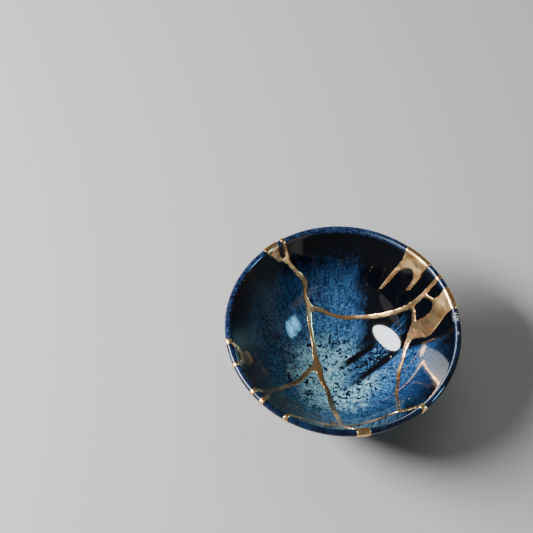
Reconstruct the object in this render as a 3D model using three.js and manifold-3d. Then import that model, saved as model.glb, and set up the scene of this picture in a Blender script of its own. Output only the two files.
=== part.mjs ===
// A small ceramic bowl that broke into twelve sherds and was joined again with lacquer and gold.
// Millimetres, +Z up, with the origin at the centre of the foot's underside.
// Bearings are degrees around +Z from +X. A reach is a share of the way up the inside of the
// bowl, from 0 at the middle of the floor to 1 where the lip begins.

import * as THREE from 'three';
import { mergeVertices } from 'three/addons/utils/BufferGeometryUtils.js';
import Module from 'manifold-3d';

const wasm = await Module();
wasm.setup();

// The thrown bowl
const RIM_RADIUS = 60;
const BOWL_HEIGHT = 52;
const LIP_THICKNESS = 3.4;
const LOWER_WALL_THICKNESS = 5;
const FLOOR_THICKNESS = 4.6;
const WALL_FLARE = 34;

// The turned foot ring
const FOOT_RADIUS = 25;
const FOOT_WALL = 4.6;
const FOOT_RECESS = 3;
const FOOT_BEVEL = 0.8;

// The repair
const BEAD_RISE = 0.45;
const JOINT_GAP = 0.3;

// Steps of the round forms, and how finely points are told apart
const TURN_STEPS = 48;
const WALL_STEPS = 6;
const LIP_STEPS = 4;
const SEAM_STEP = 9;
const DAB_STEPS = 10;
const SHARPEST_CORNER = 2.5;
const SAME_POINT = 1e-4;

const CERAMIC = { color: 0x12304f, roughness: 0.12, metalness: 0 };
const GOLD = { color: 0xcf9d62, roughness: 0.35, metalness: 1 };

const flare = THREE.MathUtils.degToRad(WALL_FLARE);
const steepest = Math.PI / 2 - flare;
const floorHeight = FOOT_RECESS + FLOOR_THICKNESS;
const lipRadius = LIP_THICKNESS / 2;
const lipCentre = new THREE.Vector2(RIM_RADIUS - lipRadius, BOWL_HEIGHT - lipRadius);

// The inside is a round floor that runs on as a straight flared wall up to the lip
const insideRadius = lipCentre.x - lipRadius * Math.sin(steepest);
const insideDepth = lipCentre.y + lipRadius * Math.cos(steepest) - floorHeight;
const floorCurve = (insideRadius * Math.cos(flare) - insideDepth * Math.sin(flare)) / (1 - Math.sin(flare));
const floorLength = floorCurve * steepest;
const straightLength = (insideRadius - floorCurve * Math.sin(steepest)) / Math.cos(steepest);
const insideLength = floorLength + straightLength;

// A cut reaches from inside the bowl, through the wall, past the foot and over the lip
const CUT_INSIDE = 3;
const CUT_MARGIN = 4;
const cutOutside = floorHeight + CUT_MARGIN + LOWER_WALL_THICKNESS;
const overLip = 1 + (LIP_THICKNESS + CUT_MARGIN) / insideLength;

// The point of the wall's section at a reach, some way out through the wall
function wallPoint(reach, depth) {
  const length = reach * insideLength;
  const slope = Math.min(length / floorCurve, steepest);
  const beyond = Math.max(length - floorLength, 0);
  return new THREE.Vector2(
    floorCurve * Math.sin(slope) + beyond * Math.cos(slope) + depth * Math.sin(slope),
    floorHeight + floorCurve * (1 - Math.cos(slope)) + beyond * Math.sin(slope) - depth * Math.cos(slope),
  );
}

function outerPoint(reach, growth) {
  const thickness = THREE.MathUtils.lerp(LOWER_WALL_THICKNESS, LIP_THICKNESS, reach);
  return wallPoint(reach, thickness + growth);
}

// The reach at which the outside of the bowl meets a radius
function reachAtOuterRadius(radius, growth) {
  let low = 0;
  let high = 1;
  while (high - low > SAME_POINT / insideLength) {
    const middle = (low + high) / 2;
    if (outerPoint(middle, growth).x < radius) low = middle;
    else high = middle;
  }
  return high;
}

// The bowl's section, or with some growth the section of the lacquer that stands proud of it
function bowlSection(growth) {
  const points = [];
  for (let step = 0; step <= WALL_STEPS; step++) points.push(wallPoint(step / WALL_STEPS, -growth));
  for (let step = 1; step < LIP_STEPS; step++) {
    const turn = steepest + Math.PI / 2 - (Math.PI * step) / LIP_STEPS;
    const radius = lipRadius + growth;
    points.push(new THREE.Vector2(Math.cos(turn), Math.sin(turn)).multiplyScalar(radius).add(lipCentre));
  }
  const footOuter = FOOT_RADIUS + growth;
  const footInner = FOOT_RADIUS - FOOT_WALL - growth;
  const recessRoof = FOOT_RECESS - growth;
  const footReach = reachAtOuterRadius(footOuter, growth);
  for (let step = 0; step <= WALL_STEPS; step++) {
    points.push(outerPoint(THREE.MathUtils.lerp(1, footReach, step / WALL_STEPS), growth));
  }
  points.push(new THREE.Vector2(footOuter, FOOT_BEVEL));
  points.push(new THREE.Vector2(footOuter - FOOT_BEVEL, 0));
  points.push(new THREE.Vector2(footInner + FOOT_BEVEL, 0));
  points.push(new THREE.Vector2(footInner, FOOT_BEVEL));
  points.push(new THREE.Vector2(footInner, recessRoof));
  points.push(new THREE.Vector2(0, recessRoof));
  return points;
}

function solidOf(geometry) {
  geometry.deleteAttribute('normal');
  geometry.deleteAttribute('uv');
  const merged = mergeVertices(geometry, SAME_POINT);
  return new wasm.Manifold(new wasm.Mesh({
    numProp: 3,
    vertProperties: new Float32Array(merged.attributes.position.array),
    triVerts: new Uint32Array(merged.index.array),
  }));
}

function turned(section) {
  const geometry = new THREE.LatheGeometry([...section].reverse(), TURN_STEPS);
  geometry.rotateX(Math.PI / 2);
  return solidOf(geometry);
}

// The flat chart of the inside: bearings stay, and the distance from the middle is the reach in mm
function chartPoint(bearing, reach) {
  const turn = THREE.MathUtils.degToRad(bearing);
  return new THREE.Vector2(Math.cos(turn), Math.sin(turn)).multiplyScalar(reach * insideLength);
}

// How much a chart's step around the axis is longer than on the bowl itself
function squeezeAt(point) {
  const reach = Math.max(point.length(), SAME_POINT) / insideLength;
  return wallPoint(reach, 0).x / (reach * insideLength);
}

// The outward side of a chart step, one true millimetre long on the bowl
function sideOf(point, step) {
  const radial = point.clone().normalize();
  const around = new THREE.Vector2(-radial.y, radial.x);
  return new THREE.Vector2(step.dot(around) * squeezeAt(point), -step.dot(radial)).normalize();
}

// A chart point moved by a true length on the bowl, given as outward and around
function moved(point, [outward, around]) {
  const radial = point.clone().normalize();
  const sideways = new THREE.Vector2(-radial.y, radial.x);
  return point.clone()
    .add(radial.multiplyScalar(outward))
    .add(sideways.multiplyScalar(around / squeezeAt(point)));
}

// A closed outline, anticlockwise in the chart, grown evenly with its corners kept
function grown(outline, growth) {
  return outline.map((point, i) => {
    const before = outline[(i + outline.length - 1) % outline.length];
    const after = outline[(i + 1) % outline.length];
    const sides = [point.clone().sub(before), after.clone().sub(point)].map((step) => sideOf(point, step));
    const corner = sides[0].clone().add(sides[1]);
    const reach = Math.min(2 / corner.lengthSq(), SHARPEST_CORNER / corner.length());
    return moved(point, corner.multiplyScalar(growth * reach).toArray());
  });
}

// An outline in the chart, pushed from the inside of the bowl out through its wall
function throughWall(outline) {
  const shape = new THREE.Shape(outline);
  const geometry = new THREE.ExtrudeGeometry(shape, { depth: 1, steps: 1, bevelEnabled: false });
  const position = geometry.attributes.position;
  for (let i = 0; i < position.count; i++) {
    const depth = THREE.MathUtils.lerp(cutOutside, -CUT_INSIDE, position.getZ(i));
    const distance = Math.hypot(position.getX(i), position.getY(i));
    const place = wallPoint(distance / insideLength, depth);
    const scale = place.x / Math.max(distance, SAME_POINT);
    position.setXYZ(i, position.getX(i) * scale, position.getY(i) * scale, place.y);
  }
  return solidOf(geometry);
}

// A seam follows stops of bearing, reach and width, as one smooth line
function seam(stops, growth) {
  const line = new THREE.CatmullRomCurve3(
    stops.map(([bearing, reach, width]) => {
      const point = chartPoint(bearing, reach);
      return new THREE.Vector3(point.x, point.y, width);
    }),
    false, 'centripetal',
  );
  const spans = stops.length - 1;
  const left = [];
  const right = [];
  for (let span = 0; span < spans; span++) {
    const length = line.points[span].distanceTo(line.points[span + 1]);
    const steps = Math.ceil(length / SEAM_STEP);
    for (let step = span === 0 ? 0 : 1; step <= steps; step++) {
      const share = (span + step / steps) / spans;
      const stop = line.getPoint(share);
      const ahead = line.getTangent(share);
      const point = new THREE.Vector2(stop.x, stop.y);
      const side = sideOf(point, new THREE.Vector2(ahead.x, ahead.y));
      const half = stop.z / 2 + growth;
      right.push(moved(point, [side.x * half, side.y * half]));
      left.unshift(moved(point, [-side.x * half, -side.y * half]));
    }
  }
  return throughWall([...right, ...left]);
}

// A fill's outline goes round its stops of bearing and reach, anticlockwise in the chart
function fill(stops, growth) {
  return throughWall(grown(stops.map(([bearing, reach]) => chartPoint(bearing, reach)), growth));
}

// A round dab of lacquer where seams meet
function dab([bearing, reach, radius], growth) {
  const centre = chartPoint(bearing, reach);
  const outline = [];
  for (let step = 0; step < DAB_STEPS; step++) {
    const turn = (2 * Math.PI * step) / DAB_STEPS;
    outline.push(moved(centre, [(radius + growth) * Math.cos(turn), (radius + growth) * Math.sin(turn)]));
  }
  return throughWall(outline);
}

// Where the seams meet, as bearing and reach
const SHOULDER = [126.7, 0.458];
const RIGHT_FORK = [43.3, 0.703];
const RIGHT_WEB = [41.2, 0.84];
const HEART = [190.1, 0.135];
const TAIL_END = [315.6, 0.803];
const FRONT = [279.8, 0.834];
const LEFT_FORK = [228.6, 0.749];
const LEFT_KNOT = [206.5, 0.85];

// Each seam's stops are bearing, reach and width in mm
const NETWORK_SEAMS = [
  [[131.5, overLip, 1.8], [132, 0.932, 1.7], [132.5, 0.853, 2.2], [128.7, 0.749, 2.4], [124.9, 0.644, 2.9],
    [126.9, 0.573, 1.9], [127, 0.503, 2.6], [...SHOULDER, 3.4]],
  [[139.3, 0.943, 2], [136.2, 0.9, 1.8], [132.7, 0.851, 2]],
  [[...SHOULDER, 3], [117.3, 0.426, 1.9], [106.5, 0.38, 1.9], [92.7, 0.363, 1.9], [72.8, 0.403, 2.1],
    [58.2, 0.479, 2.7], [47.4, 0.61, 2.2], [...RIGHT_FORK, 2.8]],
  [[...RIGHT_FORK, 2.6], [42.3, 0.792, 2.1], [41.7, 0.881, 1.9], [41.8, overLip, 1.9]],
  [[...RIGHT_WEB, 1.8], [36.9, 0.87, 1.6], [32.4, 0.887, 2]],
  [[...RIGHT_FORK, 2.5], [38.7, 0.695, 2.2], [31.5, 0.635, 2.4]],
  [[26, 0.582, 3.4], [20.7, 0.526, 2.5], [8.3, 0.481, 1.8], [357.6, 0.459, 2.4], [345.6, 0.483, 1.7],
    [332.7, 0.544, 1.8], [321.2, 0.692, 1.8], [...TAIL_END, 2.4]],
  [[...TAIL_END, 2.2], [317, 0.89, 1.9], [320.2, 0.967, 2], [323.7, overLip, 2.3]],
  [[...TAIL_END, 2.2], [309.2, 0.769, 1.9], [298.4, 0.771, 1.8], [287.8, 0.803, 1.8], [...FRONT, 2.4]],
  [[...SHOULDER, 3.2], [132.4, 0.369, 2.5], [138.3, 0.282, 1.9], [156.1, 0.184, 2.4], [...HEART, 4]],
  [[...HEART, 4], [237.7, 0.149, 2.6], [262.9, 0.223, 2], [273, 0.351, 3], [278.1, 0.513, 2.3], [...FRONT, 2.2]],
  [[...HEART, 3.4], [206.3, 0.21, 2.2], [218.8, 0.31, 2.2], [223, 0.472, 2], [...LEFT_FORK, 2.6]],
  [[...LEFT_FORK, 2.4], [229.6, 0.871, 2], [229.4, overLip, 2.4]],
  [[...LEFT_FORK, 2.4], [233.7, 0.888, 2], [236.8, overLip, 2.4]],
  [[...FRONT, 2.2], [270.7, 0.84, 2], [263.5, 0.839, 2], [253.8, 0.934, 2], [247.8, overLip, 1.9]],
  [[...FRONT, 2.2], [282.9, 0.918, 2.2], [286.2, 0.96, 2.6], [288.5, 0.985, 6], [289, overLip, 6.6]],
];

// Each fill's stops are bearing and reach
const LEFT_BACK_FILL = [
  [135.1, overLip], [142.4, overLip], [142.3, 0.99], [140.4, 0.948], [138.9, 0.906], [136.6, 0.888],
  [136.1, 0.915], [136.1, 0.944],
];
const RIGHT_FILL = [
  [35.1, overLip], [34, 0.951], [34.7, 0.902], [32.9, 0.865], [31.2, 0.846], [30.3, 0.8], [30.6, 0.747],
  [32, 0.683], [33.2, 0.64], [32.7, 0.617], [30.4, 0.588], [26.7, 0.548], [21.9, 0.559], [22.3, 0.59],
  [20, 0.653], [17.6, 0.709], [17.6, 0.761], [19.1, 0.828], [20.8, 0.877], [22.5, 0.937], [24, overLip],
];
const BACK_FILL = [
  [50.7, overLip], [64.5, overLip], [64.1, 0.938], [64.8, 0.873], [66.3, 0.803], [67.7, 0.738], [69.1, 0.649],
  [67, 0.674], [65.6, 0.728], [63.5, 0.822], [61.6, 0.862], [58.7, 0.895], [56.3, 0.905], [54.4, 0.888],
  [53, 0.855], [52.6, 0.812], [53, 0.763], [51.9, 0.753], [50.8, 0.782], [50, 0.854], [50.3, 0.937],
];
const LEFT_LOOP_SEAMS = [
  [[197.4, overLip, 3], [201.2, 0.972, 2.4], [203.4, 0.904, 2.8], [...LEFT_KNOT, 4.5]],
  [[...LEFT_KNOT, 4.5], [209.5, 0.927, 2.4], [212.2, 0.985, 1.8], [212.8, overLip, 2]],
];

// Dabs are bearing, reach and radius in mm
const NETWORK_DABS = [
  [...SHOULDER, 2], [...RIGHT_FORK, 1.8], [...RIGHT_WEB, 1.3], [...HEART, 2.5], [...TAIL_END, 1.5],
  [...FRONT, 1.6], [...LEFT_FORK, 2],
];
const LEFT_LOOP_DABS = [[...LEFT_KNOT, 3]];

function joined(seams, dabs, fills, growth) {
  const parts = [
    ...seams.map((stops) => seam(stops, growth)),
    ...dabs.map((stop) => dab(stop, growth)),
    ...fills.map((stops) => fill(stops, growth)),
  ];
  return parts.reduce((whole, part) => whole.add(part));
}

const repairs = {
  gold_seams: (growth) => joined(NETWORK_SEAMS, NETWORK_DABS, [LEFT_BACK_FILL, RIGHT_FILL], growth),
  gold_back_fill: (growth) => joined([], [], [BACK_FILL], growth),
  gold_left_loop: (growth) => joined(LEFT_LOOP_SEAMS, LEFT_LOOP_DABS, [], growth),
};

// Each sherd is known by a spot in the middle of its wall, as bearing and reach
const SHERDS = {
  back_sherd: [90, 0.674],
  left_sherd: [173.3, 0.593],
  base_sherd: [30.4, 0.279],
  right_sherd: [357.3, 0.701],
  front_right_sherd: [301, 0.909],
  front_left_sherd: [268.2, 0.953],
  lower_left_sherd: [253.6, 0.581],
  left_rim_chip: [206.7, 0.97],
  left_back_rim_chip: [134.1, 0.958],
  lower_left_rim_chip: [233, 0.961],
  right_rim_chip: [38, 0.948],
  right_inner_chip: [35.9, 0.774],
};

function meshOf(name, solid, finish) {
  const { numProp, vertProperties, triVerts } = solid.getMesh();
  const geometry = new THREE.BufferGeometry();
  const position = new Float32Array((vertProperties.length / numProp) * 3);
  for (let i = 0; i < position.length / 3; i++) {
    for (let axis = 0; axis < 3; axis++) position[i * 3 + axis] = vertProperties[i * numProp + axis];
  }
  geometry.setAttribute('position', new THREE.BufferAttribute(position, 3));
  geometry.setIndex(new THREE.BufferAttribute(new Uint32Array(triVerts), 1));
  geometry.computeVertexNormals();
  const mesh = new THREE.Mesh(geometry, new THREE.MeshStandardMaterial(finish));
  mesh.name = name;
  return mesh;
}

// A small probe in the wall tells which broken piece holds a sherd's spot
function probeAt([bearing, reach]) {
  const turn = THREE.MathUtils.degToRad(bearing);
  const middle = wallPoint(reach, LIP_THICKNESS / 2);
  const geometry = new THREE.SphereGeometry(LIP_THICKNESS / 16, 6, 4);
  geometry.translate(middle.x * Math.cos(turn), middle.x * Math.sin(turn), middle.y);
  return solidOf(geometry);
}

const bowl = turned(bowlSection(0));
const proudBowl = turned(bowlSection(BEAD_RISE));
const group = new THREE.Group();

let broken = bowl;
for (const [name, cut] of Object.entries(repairs)) {
  broken = broken.subtract(cut(0));
  group.add(meshOf(name, proudBowl.intersect(cut(-JOINT_GAP)), GOLD));
}

const pieces = broken.decompose();
for (const [name, spot] of Object.entries(SHERDS)) {
  const probe = probeAt(spot);
  const sherd = pieces.find((piece) => !piece.intersect(probe).isEmpty());
  group.add(meshOf(name, sherd, CERAMIC));
}

export default group;
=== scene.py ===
"""A small glazed bowl, broken and joined again with lacquer and gold, dressed over its solid model.

The frame gives the bowl's box and its sherds. Each sherd is cut here from one smooth turned wall,
and the gold is a raised, hand-laid bead in the same breaks. Bearings are degrees around +Z from +X.
A reach is a share of the way up the inside, from 0 at the middle of the floor to 1 at the lip.
"""

import math

import bmesh
import bpy
from bpy.props import FloatProperty, FloatVectorProperty, IntProperty, PointerProperty
from bpy.types import Operator, Panel, PropertyGroup
from mathutils import Matrix, Quaternion, Vector, noise


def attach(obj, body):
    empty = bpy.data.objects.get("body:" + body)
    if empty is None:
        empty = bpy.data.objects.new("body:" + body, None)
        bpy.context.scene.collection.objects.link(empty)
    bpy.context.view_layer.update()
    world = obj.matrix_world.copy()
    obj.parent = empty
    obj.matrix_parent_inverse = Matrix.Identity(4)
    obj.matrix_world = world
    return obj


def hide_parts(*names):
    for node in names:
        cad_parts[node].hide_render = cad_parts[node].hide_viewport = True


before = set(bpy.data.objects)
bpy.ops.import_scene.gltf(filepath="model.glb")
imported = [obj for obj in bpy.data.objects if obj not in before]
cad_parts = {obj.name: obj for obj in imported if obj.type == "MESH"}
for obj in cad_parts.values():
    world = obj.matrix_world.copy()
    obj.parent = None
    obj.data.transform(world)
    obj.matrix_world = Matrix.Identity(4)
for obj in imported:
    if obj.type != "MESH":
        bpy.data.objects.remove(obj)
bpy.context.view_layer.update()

bl_info = {
    "name": "Kintsugi Bowl",
    "version": (1, 0, 0),
    "blender": (4, 5, 0),
    "location": "View3D > Sidebar > Bowl",
    "description": "Builds a small glazed bowl mended with raised gold seams",
    "category": "Object",
}

MM = 0.001
BODY = "root"
GLAZE_SLOT = "glaze"
GOLD_SLOT = "kintsugi_gold"

# A reach past the lip, the steps round the lip and a dab, a crisp edge in degrees, and the
# distance within which points are one
OVER_LIP = 1.1
LIP_STEPS = 14
DAB_STEPS = 24
SHARP_OVER = 40
MERGE_WITHIN = 1e-7

# How far the cuts stand inside the bowl and outside its floor
CUT_INSIDE = 3 * MM
CUT_OUTSIDE = 9 * MM

# The length of an edge's wavers, the noise's layers for seams and fills, and a fill's waver in mm
WAVER_LENGTH = 2.6 * MM
SEAM_LAYER = 7 * MM
FILL_LAYER = 3 * MM
FILL_UNEVEN = 1.6

# How far through the wall the inside's finish ends and the outside's begins
INSIDE_TO = 1.2 * MM
OUTSIDE_FROM = 2.6 * MM

# The glaze's colours inside the bowl
BLUE_DEEP = (0.002, 0.009, 0.038)
BLUE_PALE = (0.036, 0.115, 0.26)
BLUE_FLECK = (0.12, 0.26, 0.4)
BLUE_BLOT = (0.002, 0.008, 0.03)
BLUE_LOW = (0.003, 0.012, 0.04)
BLUE_HIGH = (0.002, 0.009, 0.034)
TEAL_DEEP = (0.002, 0.01, 0.03)
TEAL_PALE = (0.042, 0.14, 0.24)
HALO_FLECK = (0.14, 0.36, 0.46)
MILK_DEEP = (0.016, 0.085, 0.155)
MILK_PALE = (0.285, 0.55, 0.62)
WELL_MARK = (0.0015, 0.006, 0.02)
# dark streaks at the front, and painted shade low on the front left
STREAK_AND_SHADE_DEEP = (0.0016, 0.006, 0.013)
STREAK_AND_SHADE_PALE = (0.01, 0.035, 0.065)
BLACK = (0.0016, 0.002, 0.0032)
SPECK = (0.5, 0.42, 0.3)

# The colours of the lip, the outside and the foot
OUTSIDE_DEEP = (0.002, 0.004, 0.01)
OUTSIDE_PALE = (0.006, 0.017, 0.05)
LIP_DEEP = (0.001, 0.003, 0.012)
LIP_PALE = (0.018, 0.038, 0.1)
CRACKLE = (0.34, 0.37, 0.34)
# painted highlight along the inner edge of the lip on the right
LIP_CATCHLIGHT = (0.2, 0.23, 0.27)
CLAY_DEEP = (0.05, 0.035, 0.026)
CLAY_PALE = (0.12, 0.085, 0.06)

# The gold's colours, the last two painted shade: on the right fill, and low on the near wall
GOLD_DEEP = (0.88, 0.47, 0.19)
GOLD_PALE = (1.0, 0.67, 0.33)
GOLD_FILL_SHADE = (0.32, 0.21, 0.12)
GOLD_LOW_SHADE = (0.11, 0.085, 0.055)

# Spots on the inside, as bearing and reach, and some with a size
GLAZE_SPECKS = ((16, 0.39), (69, 0.65), (178, 0.38), (205, 0.36), (328, 0.74))
SPECK_SIZE = 0.6 * MM
LIP_CRACKLES = ((18, 1.02, 4 * MM), (8.5, 1.02, 1.6 * MM))
GOLD_BUBBLE = (60, 0.85, 1.1 * MM)
# where painted shade darkens the right fill's gold
FILL_SHADE_SPOT = (25, 0.64, 20 * MM)
FAR_GLINT = (152, 0.42, 16 * MM)

# Each light's place as bearing, elevation and distance, its size, lean, power and tint, and
# whether it lights dull surfaces and whether it shows in glossy ones
LIGHTS = {
    "window": ((189, 36, 0.9), (0.7, 0.29), 41, 30, (0.94, 0.97, 1), True, True),
    "far_window": ((1, 31, 1.1), (0.34, 0.16), 48, 7, (0.2, 0.62, 1), False, True),
    "left_card": ((215, 15, 1.2), (0.9, 0.5), 0, 0.8, (1, 0.96, 0.9), False, True),
    "right_card": ((328, 15, 1.2), (0.8, 0.5), 0, 0.7, (1, 0.96, 0.9), False, True),
    "room": ((90, 62, 1.8), (1.6, 1.6), 0, 8, (1, 0.99, 0.97), True, False),
}

# The grey light from all sides, the floor's half width, and the camera's sensor and reach
ROOM_GREY = 0.5
ROOM_STRENGTH = 0.25
FLOOR_SIZE = 4
SENSOR_WIDTH = 36
FARTHEST_SEEN = 20

# Where the seams meet, as bearing and reach
SHOULDER = (126.7, 0.458)
RIGHT_FORK = (43.3, 0.703)
RIGHT_WEB = (41.2, 0.84)
HEART = (190.1, 0.135)
TAIL_END = (315.6, 0.803)
FRONT = (279.8, 0.834)
LEFT_FORK = (228.6, 0.749)
LEFT_KNOT = (206.5, 0.85)

# Each seam's stops are bearing, reach and width in mm
NETWORK_SEAMS = (
    ((131.5, OVER_LIP, 1.8), (132, 0.932, 1.7), (132.5, 0.853, 2.2), (128.7, 0.749, 2.4),
     (124.9, 0.644, 2.9), (126.9, 0.573, 1.9), (127, 0.503, 2.6), (*SHOULDER, 3.4)),
    ((139.3, 0.943, 2), (136.2, 0.9, 1.8), (132.7, 0.851, 2)),
    ((*SHOULDER, 3), (117.3, 0.426, 1.9), (106.5, 0.38, 1.9), (92.7, 0.363, 1.9), (72.8, 0.403, 2.1),
     (58.2, 0.479, 2.7), (47.4, 0.61, 2.2), (*RIGHT_FORK, 2.8)),
    ((*RIGHT_FORK, 2.6), (42.3, 0.792, 2.1), (41.7, 0.881, 1.9), (41.8, OVER_LIP, 1.9)),
    ((*RIGHT_WEB, 1.8), (36.9, 0.87, 1.6), (32.4, 0.887, 2)),
    ((*RIGHT_FORK, 2.5), (38.7, 0.695, 2.2), (31.5, 0.635, 2.4)),
    ((26, 0.582, 3.4), (20.7, 0.526, 2.5), (8.3, 0.481, 1.8), (357.6, 0.459, 2.4), (345.6, 0.483, 1.7),
     (332.7, 0.544, 1.8), (321.2, 0.692, 1.8), (*TAIL_END, 2.4)),
    ((*TAIL_END, 2.2), (317, 0.89, 1.9), (320.2, 0.967, 2), (323.7, OVER_LIP, 2.3)),
    ((*TAIL_END, 2.2), (309.2, 0.769, 1.9), (298.4, 0.771, 1.8), (287.8, 0.803, 1.8), (*FRONT, 2.4)),
    ((*SHOULDER, 3.2), (132.4, 0.369, 2.5), (138.3, 0.282, 1.9), (156.1, 0.184, 2.4), (*HEART, 4)),
    ((*HEART, 4), (237.7, 0.149, 2.6), (262.9, 0.223, 2), (273, 0.351, 3), (278.1, 0.513, 2.3),
     (*FRONT, 2.2)),
    ((*HEART, 3.4), (206.3, 0.21, 2.2), (218.8, 0.31, 2.2), (223, 0.472, 2), (*LEFT_FORK, 2.6)),
    ((*LEFT_FORK, 2.4), (229.6, 0.871, 2), (229.4, OVER_LIP, 2.4)),
    ((*LEFT_FORK, 2.4), (233.7, 0.888, 2), (236.8, OVER_LIP, 2.4)),
    ((*FRONT, 2.2), (270.7, 0.84, 2), (263.5, 0.839, 2), (253.8, 0.934, 2), (247.8, OVER_LIP, 1.9)),
    ((*FRONT, 2.2), (282.9, 0.918, 2.2), (286.2, 0.96, 2.6), (288.5, 0.985, 6), (289, OVER_LIP, 6.6)),
)

# Each fill's stops are bearing and reach, anticlockwise
LEFT_BACK_FILL = (
    (135.1, OVER_LIP), (142.4, OVER_LIP), (142.3, 0.99), (140.4, 0.948), (138.9, 0.906), (136.6, 0.888),
    (136.1, 0.915), (136.1, 0.944),
)
RIGHT_FILL = (
    (35.1, OVER_LIP), (34, 0.951), (34.7, 0.902), (32.9, 0.865), (31.2, 0.846), (30.3, 0.8), (30.6, 0.747),
    (32, 0.683), (33.2, 0.64), (32.7, 0.617), (30.4, 0.588), (26.7, 0.548), (21.9, 0.559), (22.3, 0.59),
    (20, 0.653), (17.6, 0.709), (17.6, 0.761), (19.1, 0.828), (20.8, 0.877), (22.5, 0.937), (24, OVER_LIP),
)
BACK_FILL = (
    (50.7, OVER_LIP), (64.5, OVER_LIP), (64.1, 0.938), (64.8, 0.873), (66.3, 0.803), (67.7, 0.738),
    (69.1, 0.649), (67, 0.674), (65.6, 0.728), (63.5, 0.822), (61.6, 0.862), (58.7, 0.895), (56.3, 0.905),
    (54.4, 0.888), (53, 0.855), (52.6, 0.812), (53, 0.763), (51.9, 0.753), (50.8, 0.782), (50, 0.854),
    (50.3, 0.937),
)
LEFT_LOOP_SEAMS = (
    ((197.4, OVER_LIP, 3), (201.2, 0.972, 2.4), (203.4, 0.904, 2.8), (*LEFT_KNOT, 4.5)),
    ((*LEFT_KNOT, 4.5), (209.5, 0.927, 2.4), (212.2, 0.985, 1.8), (212.8, OVER_LIP, 2)),
)

# Dabs are bearing, reach and radius in mm
NETWORK_DABS = (
    (*SHOULDER, 2), (*RIGHT_FORK, 1.8), (*RIGHT_WEB, 1.3), (*HEART, 2.5), (*TAIL_END, 1.5),
    (*FRONT, 1.6), (*LEFT_FORK, 2),
)
LEFT_LOOP_DABS = ((*LEFT_KNOT, 3), (204.5, 0.815, 3.6), (207, 0.875, 3.9))

# Each gold body's seams, dabs and fills
REPAIRS = {
    "gold_seams": (NETWORK_SEAMS, NETWORK_DABS, (LEFT_BACK_FILL, RIGHT_FILL)),
    "gold_back_fill": ((), (), (BACK_FILL,)),
    "gold_left_loop": (LEFT_LOOP_SEAMS, LEFT_LOOP_DABS, ()),
}

# Each sherd is known by a spot on its inside, as bearing and reach
SHERDS = {
    "back_sherd": (90, 0.674),
    "left_sherd": (173.3, 0.593),
    "base_sherd": (30.4, 0.279),
    "right_sherd": (357.3, 0.701),
    "front_right_sherd": (301, 0.909),
    "front_left_sherd": (268.2, 0.953),
    "lower_left_sherd": (253.6, 0.581),
    "left_rim_chip": (206.7, 0.97),
    "left_back_rim_chip": (134.1, 0.958),
    "lower_left_rim_chip": (233, 0.961),
    "right_rim_chip": (38, 0.948),
    "right_inner_chip": (35.9, 0.774),
}


def length(name, description, default):
    return FloatProperty(name=name, description=description, default=default, unit="LENGTH", min=0)


def turn(name, description, default):
    return FloatProperty(name=name, description=description, default=math.radians(default),
                         subtype="ANGLE")


def colour(name, description, default):
    return FloatVectorProperty(name=name, description=description, default=default, size=3,
                               subtype="COLOR", min=0, max=1)


def share(name, description, default):
    return FloatProperty(name=name, description=description, default=default, subtype="FACTOR",
                         min=0, max=1)


def number(name, description, default, least=0):
    return IntProperty(name=name, description=description, default=default, min=least)


class BowlSizes(PropertyGroup):
    rim_radius: length("Rim radius", "Outside radius of the lip", 60 * MM)
    height: length("Height", "From the foot's underside to the top of the lip", 52 * MM)
    lip_thickness: length("Lip", "Thickness of the rounded lip", 3.4 * MM)
    lower_wall: length("Lower wall", "Thickness of the wall near the foot", 5 * MM)
    floor_thickness: length("Floor", "Thickness of the floor inside the foot ring", 4.6 * MM)
    wall_flare: turn("Flare", "Lean of the upper wall away from upright", 34)
    foot_radius: length("Foot radius", "Outside radius of the foot ring", 25 * MM)
    foot_wall: length("Foot wall", "Thickness of the foot ring", 4.6 * MM)
    foot_recess: length("Foot recess", "Depth of the hollow inside the foot ring", 3 * MM)
    foot_bevel: length("Foot bevel", "Bevel on the foot ring's edges", 0.8 * MM)
    turn_steps: number("Turn steps", "Steps of a full turn", 224, 24)
    wall_steps: number("Wall steps", "Steps up each side of the wall", 44, 6)


class RepairSizes(PropertyGroup):
    bead_rise: length("Bead rise", "How far the gold stands proud of the glaze", 0.45 * MM)
    overlap: length("Overlap", "How far the gold laps over each glazed edge", 0.22 * MM)
    seam_step: length("Seam step", "Spacing of the points along a seam", 0.9 * MM)
    grain: length("Bead grain", "Cell size of the gold's mesh", 0.4 * MM)
    waver: share("Waver", "How much a seam's width wavers", 0.16)
    smoothing: number("Smoothing", "Rounds of smoothing on the gold", 7)


class StageSizes(PropertyGroup):
    floor_colour: colour("Floor", "Colour of the plain floor", (0.37, 0.365, 0.355))
    view_elevation: turn("Elevation", "How steeply the camera looks down into the bowl", 61.26)
    view_roll: turn("Roll", "Lean of the camera", 10.42)
    view_yaw: turn("Yaw", "Aim of the camera to its right", -2.239)
    view_pitch: turn("Pitch", "Aim of the camera upwards", 1.22)
    view_distance: length("Distance", "From the camera to the middle of the lip", 1.122)
    lens: FloatProperty(name="Lens", description="Focal length in mm", default=150, min=10)


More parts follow.
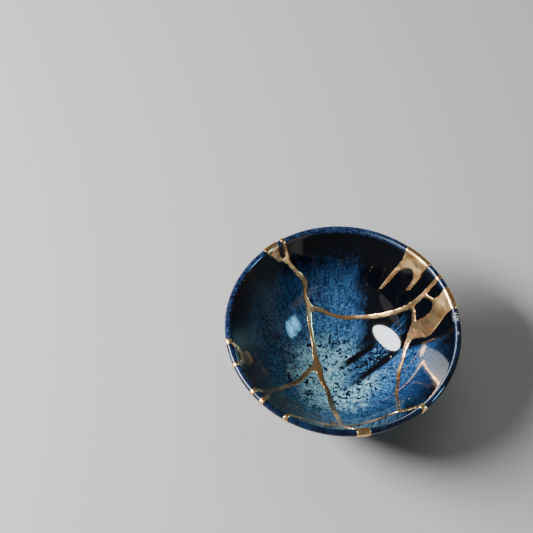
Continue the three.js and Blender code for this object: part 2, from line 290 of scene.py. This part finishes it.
class Wall:
    """The bowl's section: a round floor that runs on as a straight flared wall, then a round lip."""

    def __init__(self, sizes):
        self.sizes = sizes
        self.steepest = math.pi / 2 - sizes.wall_flare
        self.floor = sizes.foot_recess + sizes.floor_thickness
        self.lip_radius = sizes.lip_thickness / 2
        self.lip = Vector((sizes.rim_radius - self.lip_radius, sizes.height - self.lip_radius))
        radius = self.lip.x - self.lip_radius * math.sin(self.steepest)
        depth = self.lip.y + self.lip_radius * math.cos(self.steepest) - self.floor
        lean = sizes.wall_flare
        self.curve = (radius * math.cos(lean) - depth * math.sin(lean)) / (1 - math.sin(lean))
        self.round_length = self.curve * self.steepest
        straight = (radius - self.curve * math.sin(self.steepest)) / math.cos(self.steepest)
        self.length = self.round_length + straight

    def point(self, reach, depth):
        """The section's point at a reach, some way out through the wall."""
        along = reach * self.length
        slope = min(along / self.curve, self.steepest)
        beyond = max(along - self.round_length, 0)
        radius = self.curve * math.sin(slope) + beyond * math.cos(slope) + depth * math.sin(slope)
        height = self.floor + self.curve * (1 - math.cos(slope)) + beyond * math.sin(slope)
        return Vector((radius, height - depth * math.cos(slope)))

    def spot(self, bearing, reach):
        """A place on the inside of the bowl."""
        section = self.point(reach, 0)
        angle = math.radians(bearing)
        return Vector((section.x * math.cos(angle), section.x * math.sin(angle), section.y))

    def outer(self, reach, growth):
        """The section's point on the outside of the wall."""
        sizes = self.sizes
        thickness = sizes.lower_wall + (sizes.lip_thickness - sizes.lower_wall) * reach
        return self.point(reach, thickness + growth)

    def foot_reach(self, radius, growth):
        """The reach at which the outside of the wall meets a radius."""
        low, high = 0.0, 1.0
        while high - low > 1e-6:
            middle = (low + high) / 2
            if self.outer(middle, growth).x < radius:
                low = middle
            else:
                high = middle
        return high

    def outline(self, growth):
        """The closed section from the middle of the floor over the lip to the middle of the foot."""
        sizes = self.sizes
        steps = sizes.wall_steps
        points = [self.point(step / steps, -growth) for step in range(steps + 1)]
        for step in range(1, LIP_STEPS):
            angle = self.steepest + math.pi / 2 - math.pi * step / LIP_STEPS
            around = Vector((math.cos(angle), math.sin(angle))) * (self.lip_radius + growth)
            points.append(self.lip + around)
        outer = sizes.foot_radius + growth
        inner = sizes.foot_radius - sizes.foot_wall - growth
        roof = sizes.foot_recess - growth
        foot = self.foot_reach(outer, growth)
        points += [self.outer(1 + (foot - 1) * step / steps, growth) for step in range(steps + 1)]
        bevel = sizes.foot_bevel
        points += [
            Vector((outer, bevel)), Vector((outer - bevel, 0)), Vector((inner + bevel, 0)),
            Vector((inner, bevel)), Vector((inner, roof)), Vector((0, roof)),
        ]
        return points

    def chart(self, bearing, reach):
        """The flat chart of the inside, with a place's distance up the wall as its radius."""
        angle = math.radians(bearing)
        return Vector((math.cos(angle), math.sin(angle))) * (reach * self.length)

    def squeeze(self, place):
        """How much longer a step around the axis is in the chart than on the bowl."""
        reach = max(place.length / self.length, 1e-4)
        return self.point(reach, 0).x / (reach * self.length)

    def side(self, place, step):
        """The right-hand side of a chart step, as outward and around, one unit long on the bowl."""
        radial = place.normalized()
        around = Vector((-radial.y, radial.x))
        return Vector((step.dot(around) * self.squeeze(place), -step.dot(radial))).normalized()

    def moved(self, place, by):
        """A chart place moved by a true length on the bowl, given as outward and around."""
        radial = place.normalized()
        around = Vector((-radial.y, radial.x))
        return place + radial * by.x + around * (by.y / self.squeeze(place))


def new_object(name, mesh):
    piece = bpy.data.objects.new(name, mesh)
    bpy.context.scene.collection.objects.link(piece)
    return piece


def mesh_object(name, bm):
    """An object from a bmesh, closed and with its faces outwards."""
    bmesh.ops.remove_doubles(bm, verts=bm.verts, dist=MERGE_WITHIN)
    bmesh.ops.recalc_face_normals(bm, faces=bm.faces)
    mesh = bpy.data.meshes.new(name)
    bm.to_mesh(mesh)
    bm.free()
    return new_object(name, mesh)


def turned(name, points, steps):
    """A section spun round the axis."""
    bm = bmesh.new()
    verts = [bm.verts.new((point.x, 0, point.y)) for point in points]
    edges = [bm.edges.new(pair) for pair in zip(verts, verts[1:])]
    bmesh.ops.spin(bm, geom=verts + edges, cent=(0, 0, 0), axis=(0, 0, 1), angle=math.tau, steps=steps,
                   use_merge=True)
    return mesh_object(name, bm)


def through_wall(wall, places):
    """A chart outline pushed from inside the bowl out through its wall and foot."""
    outside = wall.floor + CUT_OUTSIDE
    bm = bmesh.new()
    face = bm.faces.new([bm.verts.new((place.x, place.y, 0)) for place in places])
    bmesh.ops.triangulate(bm, faces=[face])
    pushed = bmesh.ops.extrude_face_region(bm, geom=bm.faces[:])["geom"]
    far = {item for item in pushed if isinstance(item, bmesh.types.BMVert)}
    for vert in bm.verts:
        distance = math.hypot(vert.co.x, vert.co.y)
        place = wall.point(distance / wall.length, outside if vert in far else -CUT_INSIDE)
        scale = place.x / max(distance, 1e-7)
        vert.co = (vert.co.x * scale, vert.co.y * scale, place.y)
    return mesh_object("cut", bm)


def smooth_point(before, start, end, after, amount):
    """A centripetal spline's point between start and end."""
    places = (before, start, end, after)
    knots = [0.0]
    for first, second in zip(places, places[1:]):
        knots.append(knots[-1] + max((second - first).length, 1e-9) ** 0.5)
    where = knots[1] + (knots[2] - knots[1]) * amount

    def between(first, second, low, high):
        return (first * (high - where) + second * (where - low)) / (high - low)

    near = [between(places[i], places[i + 1], knots[i], knots[i + 1]) for i in range(3)]
    nearer = [between(near[i], near[i + 1], knots[i], knots[i + 2]) for i in range(2)]
    return between(*nearer, knots[1], knots[2])


def unevenness(place, layer):
    """A soft random number from -1 to 1 that belongs to a chart place."""
    return noise.noise(Vector((place.x, place.y, layer)) / WAVER_LENGTH)


def seam(wall, repair, stops, growth):
    """A seam through the wall along its stops, its width wavering as a brush does."""
    line = []
    for bearing, reach, width in stops:
        place = wall.chart(bearing, reach)
        line.append(Vector((place.x, place.y, width * MM)))
    line = [line[0] * 2 - line[1], *line, line[-1] * 2 - line[-2]]
    course = []
    for span in range(1, len(line) - 2):
        steps = max(1, math.ceil((line[span + 1] - line[span]).length / repair.seam_step))
        course += [smooth_point(*line[span - 1:span + 3], step / steps) for step in range(steps)]
    course.append(line[-2])
    left, right = [], []
    for i, stop in enumerate(course):
        place = stop.xy
        step = (course[min(i + 1, len(course) - 1)] - course[max(i - 1, 0)]).xy
        side = wall.side(place, step)
        for edge, sign in ((right, 1), (left, -1)):
            waver = unevenness(place, sign * SEAM_LAYER) * repair.waver
            half = stop.z / 2 * (1 + 2 * waver) + growth
            edge.append(wall.moved(place, side * (half * sign)))
    return through_wall(wall, right + left[::-1])


def fill(wall, repair, stops, growth):
    """A fill through the wall, its outline smoothed between its stops and a little uneven."""
    corners = [wall.chart(bearing, reach) for bearing, reach in stops]
    count = len(corners)
    outline = []
    for i in range(count):
        around = [corners[(i + k - 1) % count] for k in range(4)]
        steps = max(1, math.ceil((around[2] - around[1]).length / repair.seam_step))
        outline += [smooth_point(*around, step / steps) for step in range(steps)]
    grown = []
    for i, place in enumerate(outline):
        step = outline[(i + 1) % len(outline)] - outline[i - 1]
        waver = unevenness(place, FILL_LAYER) * repair.waver * FILL_UNEVEN * MM
        grown.append(wall.moved(place, wall.side(place, step) * (growth + waver)))
    return through_wall(wall, grown)


def dab(wall, stop, growth):
    """A round dab of lacquer where seams meet."""
    bearing, reach, radius = stop
    centre = wall.chart(bearing, reach)
    size = radius * MM + growth
    angles = [math.tau * step / DAB_STEPS for step in range(DAB_STEPS)]
    around = [Vector((math.cos(angle), math.sin(angle))) * size for angle in angles]
    return through_wall(wall, [wall.moved(centre, by) for by in around])


def settle(piece):
    """Applies a piece's modifiers to its own mesh."""
    graph = bpy.context.evaluated_depsgraph_get()
    mesh = bpy.data.meshes.new_from_object(piece.evaluated_get(graph))
    piece.modifiers.clear()
    piece.data = mesh


def combine(piece, tools, operation):
    """Joins, cuts or keeps a piece with each tool in turn, and uses the tools up."""
    for tool in tools:
        modifier = piece.modifiers.new("combine", "BOOLEAN")
        modifier.solver = "MANIFOLD"
        modifier.operation = operation
        modifier.object = tool
    settle(piece)
    for tool in tools:
        bpy.data.objects.remove(tool)


def break_solid(wall, repair, name, growth):
    """One gold body's breaks as a solid, from inside the bowl to outside it."""
    seams, dabs, fills = REPAIRS[name]
    parts = [seam(wall, repair, stops, growth) for stops in seams]
    parts += [dab(wall, stop, growth) for stop in dabs]
    parts += [fill(wall, repair, stops, growth) for stops in fills]
    combine(parts[0], parts[1:], "UNION")
    return parts[0]


def finish_piece(piece, material):
    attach(piece, BODY)
    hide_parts(piece.name.removesuffix("_dressed"))
    piece.data.materials.clear()
    piece.data.materials.append(material)


class Signal:
    """A number in a material. Sums written on it add Math nodes."""

    def __init__(self, paint, socket):
        self.paint = paint
        self.socket = socket

    def __add__(self, other):
        return self.paint.math("ADD", self, other)

    def __sub__(self, other):
        return self.paint.math("SUBTRACT", self, other)

    def __rsub__(self, other):
        return self.paint.math("SUBTRACT", other, self)

    def __mul__(self, other):
        return self.paint.math("MULTIPLY", self, other)

    def __truediv__(self, other):
        return self.paint.math("DIVIDE", self, other)

    def __rtruediv__(self, other):
        return self.paint.math("DIVIDE", other, self)

    def __pow__(self, other):
        return self.paint.math("POWER", self, other)

    __radd__ = __add__
    __rmul__ = __mul__


class Paint:
    """A new material's nodes."""

    def __init__(self, name):
        self.material = bpy.data.materials.new(name)
        self.material.use_nodes = True
        self.tree = self.material.node_tree
        self.shader = self.tree.nodes["Principled BSDF"]

    def set(self, socket, term):
        if isinstance(term, Signal):
            self.tree.links.new(term.socket, socket)
        else:
            socket.default_value = term

    def node(self, kind, settings=None, inputs=None, output=0):
        """Adds a node, sets it up and joins its inputs, and gives one of its outputs."""
        node = self.tree.nodes.new(kind)
        for key, setting in (settings or {}).items():
            setattr(node, key, setting)
        for key, term in (inputs or {}).items():
            self.set(node.inputs[key], term)
        return Signal(self, node.outputs[output])

    def split(self, vector):
        return [self.node("ShaderNodeSeparateXYZ", None, {0: vector}, place) for place in range(3)]

    def math(self, operation, *terms):
        return self.node("ShaderNodeMath", {"operation": operation}, dict(enumerate(terms)))

    def fade(self, term, low, high):
        """0 below low and 1 above high, smooth between."""
        return self.node("ShaderNodeMapRange", {"interpolation_type": "SMOOTHSTEP"},
                         {"Value": term, "From Min": low, "From Max": high})

    def near(self, place, wall, bearing, reach, size):
        """1 at a spot on the inside of the bowl and 0 a size away from it."""
        spot = wall.spot(bearing, reach)
        away = self.node("ShaderNodeVectorMath", {"operation": "DISTANCE"}, {0: place, 1: spot}, 1)
        return self.fade(away, size, size * 0.3)

    def vector(self, x, y, z):
        return self.node("ShaderNodeCombineXYZ", None, {"X": x, "Y": y, "Z": z})

    def noise(self, vector, scale, detail=3.0, roughness=0.5, distortion=0.0):
        return self.node("ShaderNodeTexNoise", None,
                         {"Vector": vector, "Scale": scale, "Detail": detail, "Roughness": roughness,
                          "Distortion": distortion})

    def mix(self, amount, first, second):
        """Mixes two colours; a plain colour is a tuple of three."""
        first = first if isinstance(first, Signal) else (*first, 1)
        second = second if isinstance(second, Signal) else (*second, 1)
        return self.node("ShaderNodeMix", {"data_type": "RGBA"}, {0: amount, 6: first, 7: second}, 2)

    def bump(self, height, strength, distance):
        return self.node("ShaderNodeBump", None,
                         {"Strength": strength, "Distance": distance, "Height": height})

    def finish(self, values):
        """Sets the shader's own sockets and gives the material."""
        for name, term in values.items():
            self.set(self.shader.inputs[name], term)
        return self.material


def on_wall(paint, wall, radius, z):
    """The reach of a place with a radius and a height, and 1 for it inside the bowl, 0 outside."""
    drop = wall.floor + wall.curve - z
    slope = paint.math("MINIMUM", paint.math("ARCTAN2", radius, drop), wall.steepest)
    round_end = wall.point(wall.round_length / wall.length, 0)
    along = (radius - round_end.x) * math.cos(wall.steepest) + (z - round_end.y) * math.sin(wall.steepest)
    beyond = paint.math("MAXIMUM", along, 0)
    reach = (slope * wall.curve + beyond) / wall.length
    depth = (radius ** 2 + drop ** 2) ** 0.5 - (beyond ** 2 + wall.curve ** 2) ** 0.5
    return reach, paint.fade(depth, OUTSIDE_FROM, INSIDE_TO)


class Glaze(Paint):
    """Run glaze: pale in the well, mottled blue up the wall, black toward the lip and in one sector."""

    def __init__(self, wall):
        super().__init__(GLAZE_SLOT)
        self.wall = wall
        self.place = self.node("ShaderNodeTexCoord", output=3)
        x, y, self.z = self.split(self.place)
        self.radius = (x ** 2 + y ** 2) ** 0.5
        self.reach, self.inside = on_wall(self, wall, self.radius, self.z)
        east = x / self.radius
        north = y / self.radius
        self.across = east * self.reach
        self.up = north * self.reach
        runs = self.vector(east * 9, north * 9, self.reach * 2.5)
        fine_runs = self.vector(east * 34, north * 34, self.reach * 9)
        self.streak = self.noise(runs, 1, 4, 0.6, 0.3)
        self.fine_streak = self.noise(fine_runs, 1, 3, 0.6)
        self.grain = self.noise(self.place, 950, 2, 0.7)
        self.cloud = self.noise(self.place, 70, 4, 0.55, 0.4)
        self.speckle = self.noise(self.place, 380, 4, 0.65, 0.5)
        self.mottle = self.grain + self.speckle - 1
        self.map_inside()
        self.map_edges()

    def map_inside(self):
        """Where the glaze changes inside. Well, under and ridge count on past an edge."""
        across, up, speckle = self.across, self.up, self.speckle
        self.left = self.fade(across + up * 0.35 + (self.cloud - 0.5) * 0.4, -0.24, -0.58)
        self.low_right = self.fade(across - up, 0.36, 0.82)
        well = ((across + 0.02) ** 2 + (up + 0.11) ** 2) ** 0.5 + (self.cloud - 0.5) * 0.24
        self.well = well + (self.fine_streak - 0.5) * 0.3
        self.under = up - self.math("MINIMUM", (across - 0.29) * 0.92, 0.15) + self.mottle * 0.08
        self.ridge = up - across * 0.92 + (speckle - 0.5) * 0.03
        ribbed = self.fade(self.ridge, 0.03, -0.02) * self.fade(self.under, -0.02, 0.05)
        self.ribbed = ribbed * self.fade(across + (speckle - 0.5) * 0.3, 0.0, 0.14)

    def map_edges(self):
        """Where the glaze turns over the lip, and where the foot's clay is bare."""
        lip, lip_radius = self.wall.lip.y, self.wall.lip_radius
        self.lip = self.fade(self.z, lip - lip_radius * 0.3, lip + lip_radius * 0.4)
        self.within = self.inside * (1 - self.lip)
        clay_line = self.fade(self.z + (self.speckle - 0.5) * 2 * MM, 4.2 * MM, 3.4 * MM)
        self.bare = clay_line * (1 - self.inside)

    def blue_wall(self):
        """Mottled blue, darker low on the right and high at the back, and teal on the left."""
        grain, speckle, streak = self.grain, self.speckle, self.streak
        body = grain * 0.4 + speckle * 0.18 + self.fine_streak * 0.24 + self.cloud * 0.18
        body = self.fade(body, 0.41, 0.59)
        tint = self.mix(body, BLUE_DEEP, BLUE_PALE)
        flecks = self.fade(grain * 0.7 + speckle * 0.3, 0.54, 0.66) * self.fade(streak, 0.36, 0.56)
        tint = self.mix(flecks * 0.7, tint, BLUE_FLECK)
        lower = self.low_right * (0.64 + self.fade(self.reach, 0.55, 0.8) * 0.28)
        tint = self.mix(lower, tint, BLUE_LOW)
        higher = self.fade(self.reach + (grain + streak - 1) * 0.25, 0.45, 0.92)
        tint = self.mix(higher * self.fade(self.up, 0.05, 0.4) * 0.75, tint, BLUE_HIGH)
        blots = self.noise(self.place, 130, 3, 0.6, 0.4) + (grain - 0.5) * 0.3
        tint = self.mix(self.fade(blots, 0.6, 0.68) * 0.75, tint, BLUE_BLOT)
        teal = self.mix(body, TEAL_DEEP, TEAL_PALE)
        return self.mix(self.left * 0.85, tint, teal)

    def with_well(self, tint):
        """Adds the pale well, pale flecks round it and dark worm-like marks in it."""
        grain, speckle, well = self.grain, self.speckle, self.well
        halo = self.fade(well, 0.68, 0.36)
        halo = halo * self.fade(grain * 0.55 + self.fine_streak * 0.45, 0.52, 0.62)
        tint = self.mix(halo * (0.45 - self.low_right * 0.3), tint, HALO_FLECK)
        pale = self.fade(well + (self.streak - 0.5) * 0.2, 0.4, 0.21)
        pale = pale * (1 - self.fade(self.up, -0.05, 0.25) * 0.35)
        milk = self.mix(self.fade(speckle * 0.55 + grain * 0.45, 0.38, 0.58), MILK_DEEP, MILK_PALE)
        tint = self.mix(pale * (1 - self.ribbed) * 0.92, tint, milk)
        bend = self.noise(self.place, 190, 2, 0.5, 1.1)
        worms = self.fade(self.math("ABSOLUTE", bend - 0.5), 0.05, 0.03)
        worms = worms * self.fade(self.cloud + speckle, 0.97, 1.04)
        dots = self.fade(self.noise(self.place, 340, 1, 0.5), 0.64, 0.69)
        marks = self.math("MAXIMUM", worms, dots) * self.fade(well, 0.44, 0.34)
        return self.mix(marks, tint, WELL_MARK)

    def black_sector(self):
        """1 in the sector on the right, which ends in two tongues with blue ribs between."""
        across, up = self.across, self.up
        lean = across - 0.13 + up * up * 0.22
        sector = self.fade(lean + self.mottle * 0.2 + (self.streak - 0.5) * 0.14, -0.05, 0.08)
        sector = sector * self.fade(self.under, -0.015, 0.025)
        rib = self.noise(self.vector(across * 5 + up * 5, across * -27 + up * 29, 0), 1, 3, 0.6, 0.4)
        rib = self.fade(rib + (self.grain - 0.5) * 0.3, 0.4, 0.56)
        open_ribs = self.ribbed * self.fade(self.under - across * 0.18, 0.02, 0.07)
        open_ribs = open_ribs * self.fade(across, 0.5, 0.36)
        sector = sector * (1 - open_ribs * rib * 0.9)
        crest = self.fade(self.math("ABSOLUTE", self.ridge + 0.015), 0.045, 0.02)
        crest = crest * self.fade(across, 0.0, 0.08) * self.fade(across, 0.34, 0.22)
        return self.math("MAXIMUM", sector, crest)

    def black_brim(self):
        """1 in the band below the lip, which is wider at the back, and reaches lower at the front left as
        painted shade.
        """
        across, up = self.across, self.up
        brim_from = 0.86 - self.fade(up, 0.3, 0.65) * 0.09
        # painted shade: the black band starts lower at the front left
        brim_from = brim_from - self.fade(across, -0.1, -0.5) * self.fade(up, 0, -0.4) * 0.12
        edge = self.reach + self.mottle * 0.45 + (self.streak + self.cloud - 1) * 0.16
        return self.fade(edge - brim_from, -0.14, 0.1)

    def with_darks(self, tint):
        """Adds dark streaks at the front and painted shade low on the front left, then the black sector
        and brim.
        """
        streak = self.streak
        tongue = self.fade(streak, 0.52, 0.6) * self.fade(self.up, -0.28, -0.42) * 0.85
        # painted shade: the glaze is darkened low on the front left, where the wall is in shade
        left_shade = self.fade(self.across + self.up + (streak - 0.5) * 0.5, -0.55, -0.9) * 0.85
        streak_and_shade = self.fade(self.fine_streak * 0.6 + self.grain * 0.4, 0.42, 0.62)
        streak_and_shade = self.mix(streak_and_shade, STREAK_AND_SHADE_DEEP, STREAK_AND_SHADE_PALE)
        tint = self.mix(self.math("MAXIMUM", tongue, left_shade), tint, streak_and_shade)
        return self.mix(self.math("MAXIMUM", self.black_sector(), self.black_brim()), tint, BLACK)

    def with_specks(self, tint):
        """Adds a few pale specks."""
        specks = 0.0
        for bearing, reach in GLAZE_SPECKS:
            speck = self.near(self.place, self.wall, bearing, reach, SPECK_SIZE)
            specks = self.math("MAXIMUM", specks, speck)
        return self.mix(specks * 0.8, tint, SPECK)

    def shell(self):
        """The outside and the lip: near black with a blue grain, the lip bluer at the back left, and a
        painted highlight on the right inner lip.
        """
        across, up, grain = self.across, self.up, self.grain
        runs = self.fade(self.streak * 0.55 + grain * 0.25 + self.speckle * 0.2, 0.4, 0.68)
        tint = self.mix(runs, OUTSIDE_DEEP, OUTSIDE_PALE)
        blue_lip = self.mix(self.fade(grain * 0.6 + self.speckle * 0.4, 0.42, 0.62), LIP_DEEP, LIP_PALE)
        tint = self.mix(self.lip * self.fade(up - across, -0.5, 0.5), tint, blue_lip)
        cracks = self.node("ShaderNodeTexVoronoi", {"feature": "DISTANCE_TO_EDGE"},
                           {"Vector": self.place, "Scale": 700})
        large, small = [self.near(self.place, self.wall, *crackle) for crackle in LIP_CRACKLES]
        tint = self.mix((large + small) * self.fade(cracks, 0.16, 0.04), tint, CRACKLE)
        # painted highlight: a pale line on the inner edge of the lip on the right, where the window
        # catches it
        roll = self.math("ARCTAN2", self.z - self.wall.lip.y, self.radius - self.wall.lip.x)
        lip_catchlight = self.fade(self.math("ABSOLUTE", roll - 2.25), 0.3, 0.1)
        lip_catchlight = lip_catchlight * self.fade(across + up * 0.2, 0.1, 0.7)
        return self.mix(lip_catchlight * self.fade(grain, 0.3, 0.5) * 0.8, tint, LIP_CATCHLIGHT)

    def fired(self):
        """The whole glaze with its bare clay, gently waved, and duller on the left."""
        tint = self.with_specks(self.with_darks(self.with_well(self.blue_wall())))
        tint = self.mix(self.within, self.shell(), tint)
        tint = self.mix(self.bare, tint, self.mix(self.speckle, CLAY_DEEP, CLAY_PALE))
        glint = self.near(self.place, self.wall, *FAR_GLINT)
        waves = self.noise(self.place, 60, 0, 0.5)
        height = waves + (self.fine_streak - 0.5) * (self.left * 0.6 + glint * 3)
        duller = self.within * self.left * (self.fade(self.reach, 0.55, 0.75) * 0.16 + 0.1)
        return self.finish({
            "Base Color": tint,
            "Roughness": self.bare * 0.7 + duller + 0.05,
            "IOR": 1.45,
            "Normal": self.bump(height, 0.06, MM),
        })


def gold_material(wall):
    """Bronze-toned gold, laid by hand, so its sheen rolls a little, with painted shade on the right fill
    and low on the near wall.
    """
    paint = Paint(GOLD_SLOT)
    place = paint.node("ShaderNodeTexCoord", output=3)
    x, y, z = paint.split(place)
    sheen = paint.noise(place, 140, 2, 0.6)
    brush = paint.noise(place, 520, 2, 0.6, 0.6)
    tint = paint.mix(paint.fade(sheen * 0.8 + brush * 0.2, 0.36, 0.64), GOLD_DEEP, GOLD_PALE)
    # painted shade: the right fill's gold is darkened where it would reflect a darker room
    tint = paint.mix(paint.near(place, wall, *FILL_SHADE_SPOT) * 0.7, tint, GOLD_FILL_SHADE)

    # painted shade: low on the near wall the gold is darkened and made less metallic, standing in for the
    # shade there
    _, inside = on_wall(paint, wall, (x ** 2 + y ** 2) ** 0.5, z)
    low_shade = inside * paint.fade(y + x * 0.35, -28 * MM, -40 * MM)
    low_shade = low_shade * paint.fade(z, wall.lip.y - 2 * MM, wall.lip.y - 6 * MM)
    tint = paint.mix(low_shade, tint, GOLD_LOW_SHADE)

    bubble = paint.near(place, wall, *GOLD_BUBBLE)
    ring = bubble * (1 - bubble) * 4
    height = paint.noise(place, 75, 1, 0.5) * 2.6 + sheen * 0.5 + brush * 0.05 + ring * 0.3
    return paint.finish({
        "Base Color": tint,
        "Roughness": 0.2 + brush * 0.1 + low_shade * 0.12,
        "Metallic": 1 - low_shade * 0.75,
        "Normal": paint.bump(height, 0.6, 0.9 * MM),
    })


def loose_parts(context, whole):
    """Separates an object into its loose parts and gives them all."""
    for piece in context.selected_objects:
        piece.select_set(False)
    context.view_layer.objects.active = whole
    whole.select_set(True)
    bpy.ops.object.mode_set(mode="EDIT")
    bpy.ops.mesh.separate(type="LOOSE")
    bpy.ops.object.mode_set(mode="OBJECT")
    return list(context.selected_objects)


def gap_to(part, spot):
    """The distance from a place to an object's nearest vertex."""
    return min((vert.co - spot).length for vert in part.data.vertices)


def lay_floor(colour):
    """A plain dull floor under the bowl."""
    bm = bmesh.new()
    bmesh.ops.create_grid(bm, x_segments=1, y_segments=1, size=FLOOR_SIZE)
    floor = mesh_object("floor", bm)
    paint = Paint("floor")
    floor.data.materials.append(paint.finish({"Base Color": (*colour, 1), "Roughness": 0.8}))


def add_light(name, target, place, size, lean, power, tint, on_dull, on_glossy):
    """A soft oval light that faces a target from a bearing, an elevation and a distance."""
    data = bpy.data.lights.new(name, "AREA")
    data.shape = "ELLIPSE"
    data.size, data.size_y = size
    data.energy = power
    data.color = tint
    light = new_object(name, data)
    bearing, rise, distance = math.radians(place[0]), math.radians(place[1]), place[2]
    level = math.cos(rise)
    away = Vector((level * math.cos(bearing), level * math.sin(bearing), math.sin(rise)))
    facing = away.to_track_quat("Z", "Y") @ Quaternion((0, 0, 1), math.radians(lean))
    light.location = target + away * distance
    light.rotation_euler = facing.to_euler()
    light.visible_diffuse = on_dull
    light.visible_glossy = on_glossy


def fill_room(scene):
    """A grey room's light from all sides."""
    world = bpy.data.worlds.new("room")
    world.use_nodes = True
    background = world.node_tree.nodes["Background"]
    background.inputs["Color"].default_value = (ROOM_GREY, ROOM_GREY, ROOM_GREY, 1)
    background.inputs["Strength"].default_value = ROOM_STRENGTH
    scene.world = world


def set_camera(scene, stage, middle):
    """A camera that looks down into the bowl, aimed near the middle of its lip."""
    data = bpy.data.cameras.new("camera")
    data.lens = stage.lens
    data.sensor_width = SENSOR_WIDTH
    data.clip_end = FARTHEST_SEEN
    camera = new_object("camera", data)
    back = Vector((0, -math.cos(stage.view_elevation), math.sin(stage.view_elevation)))
    facing = (
        Matrix.Rotation(math.pi / 2 - stage.view_elevation, 4, "X")
        @ Matrix.Rotation(-stage.view_yaw, 4, "Y")
        @ Matrix.Rotation(stage.view_pitch, 4, "X")
        @ Matrix.Rotation(stage.view_roll, 4, "Z")
    )
    camera.matrix_world = Matrix.Translation(middle + back * stage.view_distance) @ facing
    scene.camera = camera


class BOWL_OT_gold(Operator):
    """Lay the gold seams and fills"""
    bl_idname = "bowl.gold"
    bl_label = "Gold"

    def execute(self, context):
        wall = Wall(context.scene.bowl_sizes)
        repair = context.scene.repair_sizes
        material = gold_material(wall)
        rise = repair.bead_rise
        for name in REPAIRS:
            piece = turned(name + "_dressed", wall.outline(rise), wall.sizes.turn_steps)
            combine(piece, [break_solid(wall, repair, name, repair.overlap)], "INTERSECT")
            even = piece.modifiers.new("even", "REMESH")
            even.mode = "VOXEL"
            even.voxel_size = repair.grain
            soften = piece.modifiers.new("soften", "SMOOTH")
            soften.factor = 0.5
            soften.iterations = repair.smoothing
            settle(piece)
            piece.data.shade_smooth()
            finish_piece(piece, material)
        return {"FINISHED"}


class BOWL_OT_sherds(Operator):
    """Turn the bowl and break it into its glazed sherds"""
    bl_idname = "bowl.sherds"
    bl_label = "Sherds"

    def execute(self, context):
        wall = Wall(context.scene.bowl_sizes)
        repair = context.scene.repair_sizes
        whole = turned("bowl", wall.outline(0), wall.sizes.turn_steps)
        combine(whole, [break_solid(wall, repair, name, 0) for name in REPAIRS], "DIFFERENCE")
        loose = loose_parts(context, whole)
        material = Glaze(wall).fired()
        for name, place in SHERDS.items():
            spot = wall.spot(*place)
            piece = min(loose, key=lambda part: gap_to(part, spot))
            loose.remove(piece)
            piece.name = name + "_dressed"
            piece.data.shade_smooth()
            piece.data.set_sharp_from_angle(angle=math.radians(SHARP_OVER))
            finish_piece(piece, material)
        if loose:
            raise RuntimeError("sherds left over: %d" % len(loose))
        return {"FINISHED"}


class BOWL_OT_stage(Operator):
    """Set the floor, the soft lights and the camera"""
    bl_idname = "bowl.stage"
    bl_label = "Stage"

    def execute(self, context):
        stage = context.scene.stage_sizes
        sizes = context.scene.bowl_sizes
        lay_floor(stage.floor_colour)
        middle = Vector((0, 0, sizes.height - sizes.lip_thickness / 2))
        for name, settings in LIGHTS.items():
            add_light(name, middle, *settings)
        fill_room(context.scene)
        set_camera(context.scene, stage, middle)
        return {"FINISHED"}


class BOWL_PT_panel(Panel):
    """Lists the bowl's steps and sizes"""
    bl_idname = "BOWL_PT_panel"
    bl_label = "Kintsugi Bowl"
    bl_space_type = "VIEW_3D"
    bl_region_type = "UI"
    bl_category = "Bowl"

    def draw(self, context):
        for group in (context.scene.bowl_sizes, context.scene.repair_sizes, context.scene.stage_sizes):
            box = self.layout.box()
            for key in group.__annotations__:
                box.prop(group, key)
        for operator in (BOWL_OT_gold, BOWL_OT_sherds, BOWL_OT_stage):
            self.layout.operator(operator.bl_idname)


CLASSES = (BowlSizes, RepairSizes, StageSizes, BOWL_OT_gold, BOWL_OT_sherds, BOWL_OT_stage, BOWL_PT_panel)


def register():
    for item in CLASSES:
        bpy.utils.register_class(item)
    bpy.types.Scene.bowl_sizes = PointerProperty(type=BowlSizes)
    bpy.types.Scene.repair_sizes = PointerProperty(type=RepairSizes)
    bpy.types.Scene.stage_sizes = PointerProperty(type=StageSizes)


def unregister():
    del bpy.types.Scene.stage_sizes
    del bpy.types.Scene.repair_sizes
    del bpy.types.Scene.bowl_sizes
    for item in reversed(CLASSES):
        bpy.utils.unregister_class(item)


def main():
    register()
    bpy.ops.bowl.gold()
    bpy.ops.bowl.sherds()
    bpy.ops.bowl.stage()


if __name__ == "__main__":
    main()
